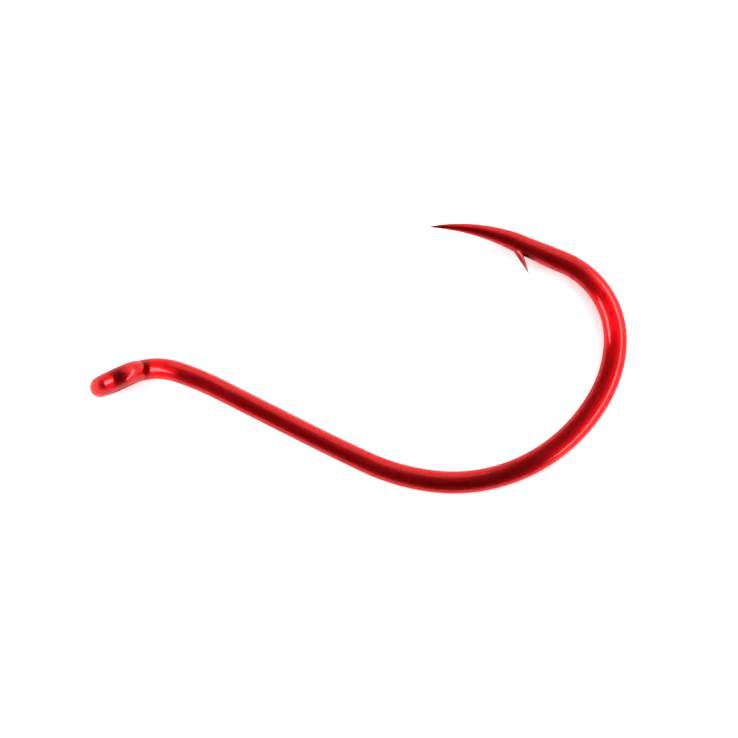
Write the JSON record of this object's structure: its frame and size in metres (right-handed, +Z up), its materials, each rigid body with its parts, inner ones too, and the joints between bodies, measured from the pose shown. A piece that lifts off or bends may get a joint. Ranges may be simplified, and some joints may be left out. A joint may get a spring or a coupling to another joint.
{
  "type": "fishing hook",
  "caption": "Single beak-pattern fish hook of round wire with a ring eye turned away from the point, a slightly pressed bend, a curved-in point and a sliced barb, plated red.",
  "frame": {"origin": "centre of the bounding box in plan, on the ground the hook lies on", "axes": "+X along the greatest length, from the eye to the bend; +Y from the shank towards the point; +Z up, out of the side the hook lies on"},
  "size_m": [0.031, 0.0156, 0.0035],
  "materials": {
    "red_plating": "gloss red plating over steel"
  },
  "bodies": {
    "root": {"eye": "red_plating", "shank": "red_plating", "bend": "red_plating", "throat": "red_plating", "point": "red_plating", "barb": "red_plating"}
  },
  "joints": []
}
